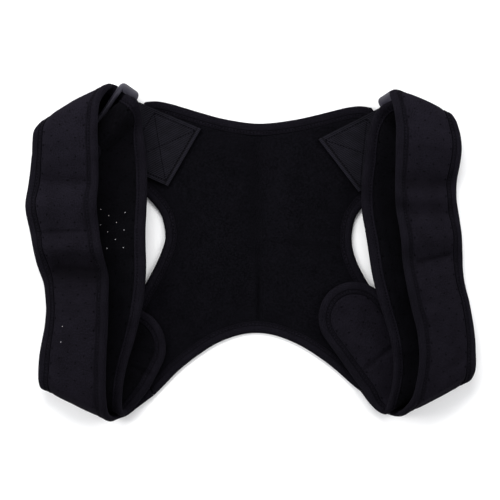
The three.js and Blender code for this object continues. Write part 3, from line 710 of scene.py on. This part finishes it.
def tapeMesh(side, band):
    u, v, inU, inV = tapePath(band)
    section = tapeSection()
    x, y = section[:, 0][None, :], section[:, 1][None, :]
    rows = band.rowAt(u[:, None] + inU[:, None] * x)
    points = band.point(rows, v[:, None] + inV[:, None] * x, y)
    uv = surfaceMap(runAlong(section), runAlong(points[:, len(tapeProfile) - 1]))
    # The tape takes most of the strap's painted light and shade.
    tone = 0.7 * strapPaintedShading(side, rows, points)
    return makeTube(f"{side['name']}_strap_tape", points, [finishes["tape"]], uv=uv, tone=tone)


# Zigzag stitches over the tape's inner edge, on both faces.
def strapStitches(side, band):
    u, v, inU, inV = tapePath(band)
    rows = band.rowAt(u + inU * tapeSize["stitchLine"])
    v = v + inV * tapeSize["stitchLine"]
    points, along, up = [], [], []
    for face in (1, -1):
        line = band.point(rows, v, face * tapeSize["stitchHeight"])
        run = runAlong(line)
        marks = np.arange(1.5, run[-1] - 1, stitchPitch)
        place = readAt(marks, run, line)
        points.append(place)
        along.append(unit(readAt(marks + 0.8, run, line) - place))
        up.append(unit(readAt(marks, run, band.normal(rows, v) * face)))
    name = f"{side['name']}_strap_stitches"
    return setAlong(name, "bead", points, along, up, stitchSize, finishes["thread"])


holeSize = {
    "across": 9.1, "along": 8.3, "columns": 6, "proud": 0.06,
    "start": 14,  # mm from the strap's sewn end to the first row
    "endGap": 26, "endHalfWidth": 14,
}
holeShape = {"Length": 1.4, "Width": 1.4, "Height": 0.08, "Slant": 0.0, "Unevenness": 0.3, "Seed": 3}
paleShape = {**holeShape, "Length": 0.65, "Width": 0.65}
# Where the left strap's holes get pale discs, painted light for the lit ground seen through them: the face,
# the rows and the place in mm.
paleHoles = table("face first last x0 x1 y0 y1", "-1 27 99 -150 -118 0 42", "1 -1 20 -192 -180 -102 -62")


def showsGround(side, face, k, place):
    return side["name"] == "left" and any(
        face == area["face"] and area["first"] < k < area["last"]
        and area["x0"] < place[0] < area["x1"] and area["y0"] < place[1] < area["y1"]
        for area in paleHoles
    )


# Small punched holes in a staggered pattern, on both faces, laid on the cloth as flat discs of painted shade,
# and of painted light where the ground shows through.
def strapHoles(side, band):
    dark, pale = [], []
    for row in range(int((band.total - 24) / holeSize["along"])):
        u = holeSize["start"] + row * holeSize["along"]
        k = float(band.rowAt(u))
        for column in range(row % 2, holeSize["columns"], 2):
            v = (column - (holeSize["columns"] - 1) / 2) * holeSize["across"]
            if u > band.total - holeSize["endGap"] and abs(v) > holeSize["endHalfWidth"]:
                continue
            for face in (1, -1):
                place = band.point(k, v, face * (strapSize["body"] + holeSize["proud"]))
                entry = (place, unit(band.across(k)), band.normal(k, v) * face)
                (pale if showsGround(side, face, k, place) else dark).append(entry)
    made = []
    kinds = [("holes", dark, holeShape, "hole"), ("open_holes", pale, paleShape, "seeThroughLight")]
    for label, holes, shape, finish in kinds:
        if holes:
            points, along, up = zip(*holes)
            name = f"{side['name']}_strap_{label}"
            made.append(setAlong(name, "disc", points, along, up, shape, finishes[finish]))
    return made


for side in sides:
    name = side["name"]
    band = Band(strapLines(side), layout["strapWidth"], side["hand"], strapRelief(side))
    cloth, tape = strapMesh(side, band), tapeMesh(side, band)
    stitches, holes = strapStitches(side, band), strapHoles(side, band)
    finishPiece(cloth, "strap_cloth", f"{name}_strap")
    finishPiece(tape, "tape", f"{name}_strap_binding")
    finishPiece(stitches, "tape")
    for piece in holes:
        finishPiece(piece, "strap_cloth")
    side["band"], side["cloth"], side["clothPieces"] = band, cloth, [tape, stitches, *holes]
    print(name, "strap made,", round(band.total), "mm long")


def ringMesh(side):
    ring, half = ringPlace(side), ringSize["bar"] / 2
    normal = np.cross(ring["across"], ring["along"])
    corner = ringSize["corner"] - half
    reach = np.array([ringSize["depth"] / 2 - half, ringSize["window"] / 2 + half]) - corner
    power = ringSize["squareness"]
    points = []
    for cx, cy, start in ((1, 1, 0), (-1, 1, 90), (-1, -1, 180), (1, -1, 270)):
        for angle in np.linspace(start, start + 90, ringSize["cornerSteps"]):
            way = heading(angle)[:2]
            for turn in np.linspace(0, 2 * math.pi, ringSize["around"], endpoint=False):
                c, s = math.cos(turn), math.sin(turn)
                out = math.copysign(abs(c) ** power, c) * half
                rise = math.copysign(abs(s) ** power, s) * half
                swell = ringSize["endSwell"] if out > 0 else ringSize["endFill"]
                out = out * (1 + swell * max(way[1], 0) ** 2)
                flat = reach * [cx, cy] + way * (corner + out)
                place = ring["middle"] + ring["across"] * flat[0] + ring["along"] * flat[1]
                points.append(place + normal * rise)
    rings = np.reshape(points, (-1, ringSize["around"], 3))
    return makeTube(f"{side['name']}_ring_body", rings, [finishes["plastic"]], looped=True)


for side in sides:
    finishPiece(ringMesh(side), "ring_plastic", f"{side['name']}_ring")
print("rings made")


webbingSize = {
    "width": 66, "thickness": 1.2, "ribs": 40, "ribHeight": 0.13, "halfPly": 0.5, "loop": 4.5,
    "lowerPly": 5.1, "upperPly": 6.6, "armGap": 6,
    "turnedIn": 0.45,  # how much the turned end is thicker
    "turnedFrom": 2.6, "turnedTo": 3.4,
}
# The sewn box's sides, from the webbing's end and from its middle line, and what its stitches are like.
webbingBox = {"near": 4.6, "far": 50, "edge": webbingSize["width"] / 2 - 4, "pitch": 2.7, "height": 0.62}
webbingThread = {"Length": 2.3, "Width": 1.0, "Height": 0.5, "Slant": 0.0, "Unevenness": 0.08, "Seed": 5}


def webbingLines(side):
    patch = np.array([side["patch"]["x"] * halfSpread[0], side["patch"]["y"] * halfSpread[1], 0])
    bar = ringPlace(side)["hookBar"] * [1, 1, 0]
    length = np.linalg.norm(patch - bar)
    away = (patch - bar) / length
    radius = webbingSize["loop"] - webbingSize["thickness"] / 2

    def line(distance, z):
        share = max(distance, 0) / length
        yaw = side["ring"]["yaw"] + (side["patch"]["yaw"] - side["ring"]["yaw"]) * share
        centre = bar + away * distance
        centre[2] = z
        return {"centre": centre, "across": heading(yaw), "crown": 0}

    arm = webbingSize["loop"] + webbingSize["armGap"] - 5 * layout["clearance"]
    flat = [arm + share * (length - arm) for share in (1, 0.7, 0.35, 0)]
    loop = [
        line(radius * math.cos(math.radians(a)), ringSize["hookBarZ"] + radius * math.sin(math.radians(a)))
        for a in (90, 135, 180, 225, 270)
    ]
    above = [line(d, webbingSize["upperPly"]) for d in flat]
    below = [line(d, webbingSize["lowerPly"]) for d in reversed(flat)]
    return above + loop + below


def webbingMesh(side, band):
    half, halfPly = webbingSize["width"] / 2, webbingSize["halfPly"]
    k = np.concatenate([np.linspace(0, 3, 46), np.linspace(3, 9, 49)[1:], np.linspace(9, band.last, 30)[1:]])
    v = np.linspace(-half, half, webbingSize["ribs"] * 4 + 1)
    rib = webbingSize["ribHeight"] * np.cos(2 * math.pi * (v + half) / (2 * half / webbingSize["ribs"]))
    length = band.lengthAt(k)
    turned = webbingSize["turnedIn"] * (1 - ease(webbingSize["turnedFrom"], webbingSize["turnedTo"], length))
    thick = (halfPly + rib * ease(0, 1.6, half - np.abs(v)))[None, :] + turned[:, None]
    top, under = band.point(k[:, None], v[None, :], thick), band.point(k[:, None], v[None, :], -halfPly)
    uv = surfaceMap(v + half, length)
    name = f"{side['name']}_webbing_band"
    return makeTube(name, wrapRound(top, under), [finishes["webbing"]], uv=wrapRound(uv, uv))


# The sewn box with a cross in it, and a row along the folded end.
def webbingStitches(side, band):
    near, far, edge = webbingBox["near"], webbingBox["far"], webbingBox["edge"]
    corners = [(near, -edge), (near, edge), (far, edge), (far, -edge)]
    points, along, up = [], [], []
    for a, b in ((0, 1), (1, 2), (2, 3), (3, 0), (0, 2), (1, 3)):
        (u0, v0), (u1, v1) = corners[a], corners[b]
        count = int(math.hypot(u1 - u0, v1 - v0) / webbingBox["pitch"])
        share = (np.arange(count) + 0.5) / count
        k = band.rowAt(u0 + (u1 - u0) * share)
        v = v0 + (v1 - v0) * share
        place = band.point(k, v, webbingBox["height"])
        points.append(place)
        along.append(unit(np.gradient(place, axis=0)))
        up.append(band.normal(k, v))
    name = f"{side['name']}_webbing_stitches"
    return setAlong(name, "bead", points, along, up, webbingThread, finishes["thread"])


for side in sides:
    band = Band(webbingLines(side), webbingSize["width"], side["hand"])
    webbing, stitches = webbingMesh(side, band), webbingStitches(side, band)
    finishPiece(webbing, "webbing", f"{side['name']}_webbing")
    finishPiece(stitches, "webbing")
print("webbing made")


panelSize = {
    "centreX": 8.5, "top": 127.7, "bottom": -81.3, "waist": 186, "waistLine": 14.5, "thickness": 3.6,
    "armEndWidth": 70, "rimTop": 2.9, "rimUnder": 1.3, "puff": 0.5,
    "pitch": 1.7,  # mm between points along the edges
    "grid": 2.6,
    "foldGrid": 0.9,  # mm between points across the pressed fold
    "foldHalf": 6, "edgeGap": 1.6, "under": 0.02,
}
# The pressed fold down the middle, sharpest low down, the slack beside it and the fold across to the right.
foldSize = {
    "depth": 2.1, "width": 2.0, "lowY": -44, "reach": 34, "least": 0.15, "slackDepth": 0.7, "slackX": -4,
    "slackWidth": 9, "crossDepth": 0.6, "crossY": 11, "crossWidth": 3, "crossSlope": 0.08, "wave": 0.22,
}
# Painted shade down the pressed fold low down, beside the slack and along the fold across, and a painted
# light patch right of the middle from about the waist up.
panelPaintedShading = {"low": 0.4, "lowReach": 30, "lowWidth": 2.5, "slack": 0.25, "slackWidth": 8, "paintedLight": 0.35}
topEdge = {
    "left": table("x y", "0 0, 0.31 0.22, 0.49 0.47, 0.67 0.75, 0.79 0.93, 0.9 1.03, 1 1"),
    "right": table("x y", "0 0, 0.31 0.23, 0.49 0.5, 0.67 0.82, 0.79 1.02, 0.9 1.1, 1 1"),
}
bottomEdge = {
    "left": table("x y", "0 0, 0.175 0.03, 0.39 0.16, 0.58 0.36, 0.765 0.605, 0.915 0.86, 1 1"),
    "right": table("x y", "0 0, 0.175 0.05, 0.39 0.2, 0.58 0.4, 0.765 0.645, 0.915 0.88, 1 1"),
}
# An armhole's edge, from its waist to the arms above and below.
upperHalf = table("x y", "0 0, 0.057 0.26, 0.15 0.38, 0.313 0.52, 0.65 0.76, 1 1")
lowerHalf = {
    "left": table("x y", "0 0, 0.05 0.104, 0.162 0.24, 0.365 0.427, 0.68 0.7, 1 1"),
    "right": table("x y", "0 0, 0.015 0.104, 0.095 0.24, 0.29 0.427, 0.645 0.7, 1 1"),
}


# The two corners of an arm's cut end.
def lowerArmEnd(side):
    line = strapLines(side)[0]
    along = unit(line["across"])
    inward = np.array([-along[1], along[0], 0]) * -side["hand"] * layout["clearance"]
    across = line["across"] * layout["strapWidth"]
    return [(line["centre"] + across * share + inward) * [1, 1, 0] for share in (-0.5, 0.5)]


def upperArmEnd(side):
    ring = ringPlace(side)
    end = ring["hookBar"] + ring["level"] * (webbingSize["loop"] + webbingSize["armGap"]) + ring["along"] * 3
    return [end * [1, 1, 0] + ring["along"] * share * panelSize["armEndWidth"] for share in (-0.5, 0.5)]


def halfEdge(middle, corner, rows):
    run = corner[:2] - middle
    return [np.array([middle[0] + run[0] * row["x"], middle[1] + run[1] * row["y"], 0]) for row in rows]


# Points about evenly spaced along a bound edge, with the way inwards at each. The cuts are its ends' ways in.
def edgeLine(name, points, fromCut, toCut):
    fine = smoothCurve(points)(np.linspace(0, len(points) - 1, 1200))
    run = runAlong(fine)
    marks = np.linspace(0, run[-1], int(run[-1] / panelSize["pitch"]) + 1)
    place = readAt(marks, run, fine)
    ahead = unit(np.gradient(place, axis=0))
    inward = np.stack([-ahead[:, 1], ahead[:, 0], np.zeros(len(ahead))], axis=1)
    for cut, near, end in ((fromCut, marks, 0), (toCut, run[-1] - marks, -1)):
        slanted = cut / max(float(cut @ inward[end]), 0.5)
        weight = (1 - ease(0, 16, near))[:, None]
        inward = inward * (1 - weight) + slanted * weight
    return {"name": name, "marks": marks, "place": place, "ahead": ahead, "inward": inward}


# The four bound edges, each with the panel on its left.
def panelEdges():
    left, right = ({"upper": upperArmEnd(side), "lower": lowerArmEnd(side)} for side in sides)
    centreX, waist = panelSize["centreX"], panelSize["waist"] / 2
    top, base = (np.array([centreX, panelSize[end]]) for end in ("top", "bottom"))
    waists = [np.array([centreX + reach, panelSize["waistLine"]]) for reach in (-waist, waist)]

    def edge(name, middle, corner, fromArm, toArm, fromRows, toRows):
        away = halfEdge(middle, fromArm[corner], fromRows)[::-1]
        cuts = [unit(arm[1] - arm[0]) * (1 - 2 * corner) for arm in (fromArm, toArm)]
        return edgeLine(name, away + halfEdge(middle, toArm[corner], toRows)[1:], *cuts)

    return [
        edge("top_binding", top, 1, right["upper"], left["upper"], topEdge["right"], topEdge["left"]),
        edge(
            "left_armhole_binding", waists[0], 0,
            left["upper"], left["lower"], upperHalf, lowerHalf["left"],
        ),
        edge(
            "bottom_binding", base, 1,
            left["lower"], right["lower"], bottomEdge["left"], bottomEdge["right"],
        ),
        edge(
            "right_armhole_binding", waists[1], 0,
            right["lower"], right["upper"], lowerHalf["right"], upperHalf,
        ),
    ]


edges = panelEdges()
panelMiddle = (panelSize["rimTop"] + panelSize["rimUnder"]) / 2


def insideOutline(points, outline):
    hits = np.zeros(len(points), int)
    for a, b in zip(outline, np.roll(outline, -1, axis=0)):
        spans = (a[1] > points[:, 1]) != (b[1] > points[:, 1])
        cross = a[0] + (points[:, 1] - a[1]) / (b[1] - a[1] + 1e-12) * (b[0] - a[0])
        hits += spans & (points[:, 0] < cross)
    return hits % 2 == 1


def fromEdge(points, line):
    chunks = np.array_split(points, 40)
    return np.concatenate([np.sqrt(((chunk[:, None] - line[None]) ** 2).sum(-1)).min(1) for chunk in chunks])


# The outline's points and staggered rows within it, closer together across the pressed fold.
def panelPoints(outline):
    low, high = outline.min(0), outline.max(0)
    step, middle, half = panelSize["grid"], panelSize["centreX"], panelSize["foldHalf"]
    gridX, gridY = np.meshgrid(np.arange(low[0], high[0], step), np.arange(low[1], high[1], step))
    gridX = gridX + (np.arange(gridX.shape[0]) % 2)[:, None] * step / 2
    grid = np.stack([gridX.ravel(), gridY.ravel()], axis=1)
    columns = np.arange(1 - half, half - 0.9, panelSize["foldGrid"])
    foldX, foldY = np.meshgrid(columns, np.arange(low[1], high[1], 2))
    foldX = foldX + middle
    grid = grid[np.abs(grid[:, 0] - middle) >= half]
    grid = np.vstack([grid, np.stack([foldX.ravel(), foldY.ravel()], axis=1)])
    grid = grid[insideOutline(grid, outline)]
    return np.vstack([outline, grid[fromEdge(grid, outline) > panelSize["edgeGap"]]])


def panelPiece():
    outline = np.vstack([edge["place"][:-1:2, :2] for edge in edges])
    bound = np.vstack([edge["place"][:, :2] for edge in edges])
    border = [(i, (i + 1) % len(outline)) for i in range(len(outline))]
    cut = delaunay_2d_cdt([tuple(p) for p in panelPoints(outline)], border, [], 1, 1e-4)
    flat, triangles = np.array([tuple(v) for v in cut[0]]), cut[2]
    count, x, y = len(flat), flat[:, 0], flat[:, 1]
    middle, slackX = panelSize["centreX"], panelSize["centreX"] + foldSize["slackX"]
    reach = fromEdge(flat, bound)
    full = ease(9.5, 13.5, reach)
    puff = panelSize["puff"] * ease(11, 30, reach)
    deep = foldSize["least"] + (1 - foldSize["least"]) * hump(y, foldSize["lowY"], foldSize["reach"])
    fold = hump(x, middle, foldSize["width"]) * foldSize["depth"] * deep
    fold = fold + foldSize["slackDepth"] * hump(x, slackX, foldSize["slackWidth"]) * ease(-60, 20, y)
    cross = hump(y + foldSize["crossSlope"] * x, foldSize["crossY"], foldSize["crossWidth"])
    cross = foldSize["crossDepth"] * cross * ease(0, 30, x)
    wave = foldSize["wave"] * np.sin(x / 23 + 1.3) * np.sin(y / 31 + 0.4)
    topZ = panelSize["rimTop"] + (panelSize["thickness"] - panelSize["rimTop"]) * full + puff
    topZ = topZ + (wave - fold - cross) * full
    underZ = panelSize["rimUnder"] * (1 - full) + panelSize["under"]
    points = np.vstack([np.column_stack([flat, topZ]), np.column_stack([flat, underZ])])
    faces = [tuple(t) for t in triangles] + [tuple(count + i for i in reversed(t)) for t in triangles]
    uses = {}
    for t in triangles:
        for i in range(3):
            pair = tuple(sorted((t[i], t[(i + 1) % 3])))
            uses[pair] = uses.get(pair, 0) + 1
    faces += [(a, b, b + count, a + count) for (a, b), times in uses.items() if times == 1]
    # Painted shade in the folds and a painted light patch, on the upper face only.
    low = hump(y, foldSize["lowY"], panelPaintedShading["lowReach"])
    foldShade = panelPaintedShading["low"] * low * hump(x, middle, panelPaintedShading["lowWidth"]) + cross / 3
    foldShade = foldShade + panelPaintedShading["slack"] * (1 - low) * hump(x, slackX, panelPaintedShading["slackWidth"])
    paintedLight = panelPaintedShading["paintedLight"] * hump(x, 28, 15) * ease(-10, 25, y)
    tone = np.concatenate([paintedLight - foldShade, np.zeros(count)])
    return makePiece("panel_cloth", points, faces, [finishes["lining"]], tone=tone)


def edgeTape(edge):
    section = tapeSection() * [1, tapeSize["panelFlatten"]]
    points = edge["place"][:, None] + edge["inward"][:, None] * section[None, :, :1]
    points[..., 2] = panelMiddle + section[None, :, 1]
    uv = surfaceMap(runAlong(section), edge["marks"])
    return makeTube(edge["name"].replace("binding", "tape"), points, [finishes["tape"]], uv=uv)


def edgeStitches(edge):
    spots = np.arange(1.5, edge["marks"][-1] - 1, stitchPitch)
    place, inward, ahead = (readAt(spots, edge["marks"], edge[part]) for part in ("place", "inward", "ahead"))
    above = place + inward * tapeSize["stitchLine"]
    below = above.copy()
    above[:, 2] = panelMiddle + tapeSize["panelStitchHeight"]
    below[:, 2] = panelMiddle - tapeSize["panelStitchHeight"]
    up = np.tile([0, 0, 1.0], (len(spots), 1))
    name = edge["name"].replace("binding", "stitches")
    return setAlong(name, "bead", [above, below], [ahead, ahead], [up, -up], stitchSize, finishes["thread"])


panel = panelPiece()
finishPiece(panel, "lining", "back_panel")
panelExtras = []
for edge in edges:
    tape, stitches = edgeTape(edge), edgeStitches(edge)
    finishPiece(tape, "tape", edge["name"])
    finishPiece(stitches, "tape")
    panelExtras += [tape, stitches]

# How far in from an arm's cut each row lies, and how high up.
seamRows = [(lowerArmEnd, 1.2, 4.3), (lowerArmEnd, -1.5, 4.5), (upperArmEnd, 3, 4.0)]
seamThread = {**stitchSize, "Length": 2.2, "Slant": 0.35}
seamPitch = 2.6


# The seam where each strap starts, and the row along each upper arm's end.
def seamStitches():
    centre = np.array([panelSize["centreX"], panelSize["waistLine"], 0])
    points, along = [], []
    for side in sides:
        for armEnd, inset, height in seamRows:
            start, end = armEnd(side)
            way = unit(end - start)
            square = np.array([-way[1], way[0], 0])
            square = square * np.sign(square @ (centre - start))
            spots = np.arange(5, np.linalg.norm(end - start) - 5, seamPitch)
            line = start + way * spots[:, None] + square * inset
            line[:, 2] = height
            points.append(line)
            along.append(np.tile(way, (len(spots), 1)))
    up = np.tile([0, 0, 1.0], (sum(len(p) for p in points), 1))
    return setAlong("arm_seams", "bead", points, along, up, seamThread, finishes["thread"])


seams = seamStitches()
finishPiece(seams, "tape")
print("panel made")


studio = {"cameraHeight": 2.0, "fieldWidth": 0.5, "sensor": 36, "floor": 6.0}  # metres, and the sensor in mm
softboxes = [  # name, place, size and power
    ("leftSoftbox", (-1.6, 0.2, 0.95), (1.0, 1.2), 31),
    ("rightSoftbox", (1.6, 0.2, 0.95), (1.0, 1.2), 24),
    ("topSoftbox", (-0.2, 1.4, 1.1), (1.2, 0.7), 26),
    ("lowSoftbox", (0, -1.4, 0.8), (1.2, 0.7), 4),
]
surround = {"Color": (0.95, 0.96, 1, 1), "Strength": 0.34}


def addFloor():
    half = studio["floor"] / 2
    mesh = bpy.data.meshes.new("floor")
    corners = [(-half, -half, 0), (half, -half, 0), (half, half, 0), (-half, half, 0)]
    mesh.from_pydata(corners, [], [(0, 1, 2, 3)])
    material, shader, place = startMaterial("floor", {"Specular IOR Level": 0.1})
    feed(shader, place.noise(3, 1.0, 0.5).mix([0.97] * 3, [0.99] * 3), 0.85 + place.noise(3) * 0.1)
    mesh.materials.append(material)
    floor = bpy.data.objects.new("floor", mesh)
    scene.collection.objects.link(floor)


addFloor()
for name, place, size, power in softboxes:
    light = bpy.data.lights.new(name, "AREA")
    light.shape, light.energy = "RECTANGLE", power
    light.size, light.size_y = size
    lamp = bpy.data.objects.new(name, light)
    lamp.location = place
    lamp.rotation_euler = (-Vector(place)).to_track_quat("-Z", "Y").to_euler()
    scene.collection.objects.link(lamp)
world = bpy.data.worlds.new("studio")
scene.world = world
world.use_nodes = True
for socket, value in surround.items():
    world.node_tree.nodes["Background"].inputs[socket].default_value = value

camera = bpy.data.cameras.new("overhead")
camera.sensor_width = studio["sensor"]
camera.lens = studio["sensor"] * studio["cameraHeight"] / studio["fieldWidth"]
eye = bpy.data.objects.new("overhead", camera)
eye.location = (-0.00005, 0.00236, studio["cameraHeight"])
scene.collection.objects.link(eye)
scene.camera = eye
scene.view_settings.view_transform = "Standard"
print("studio made")
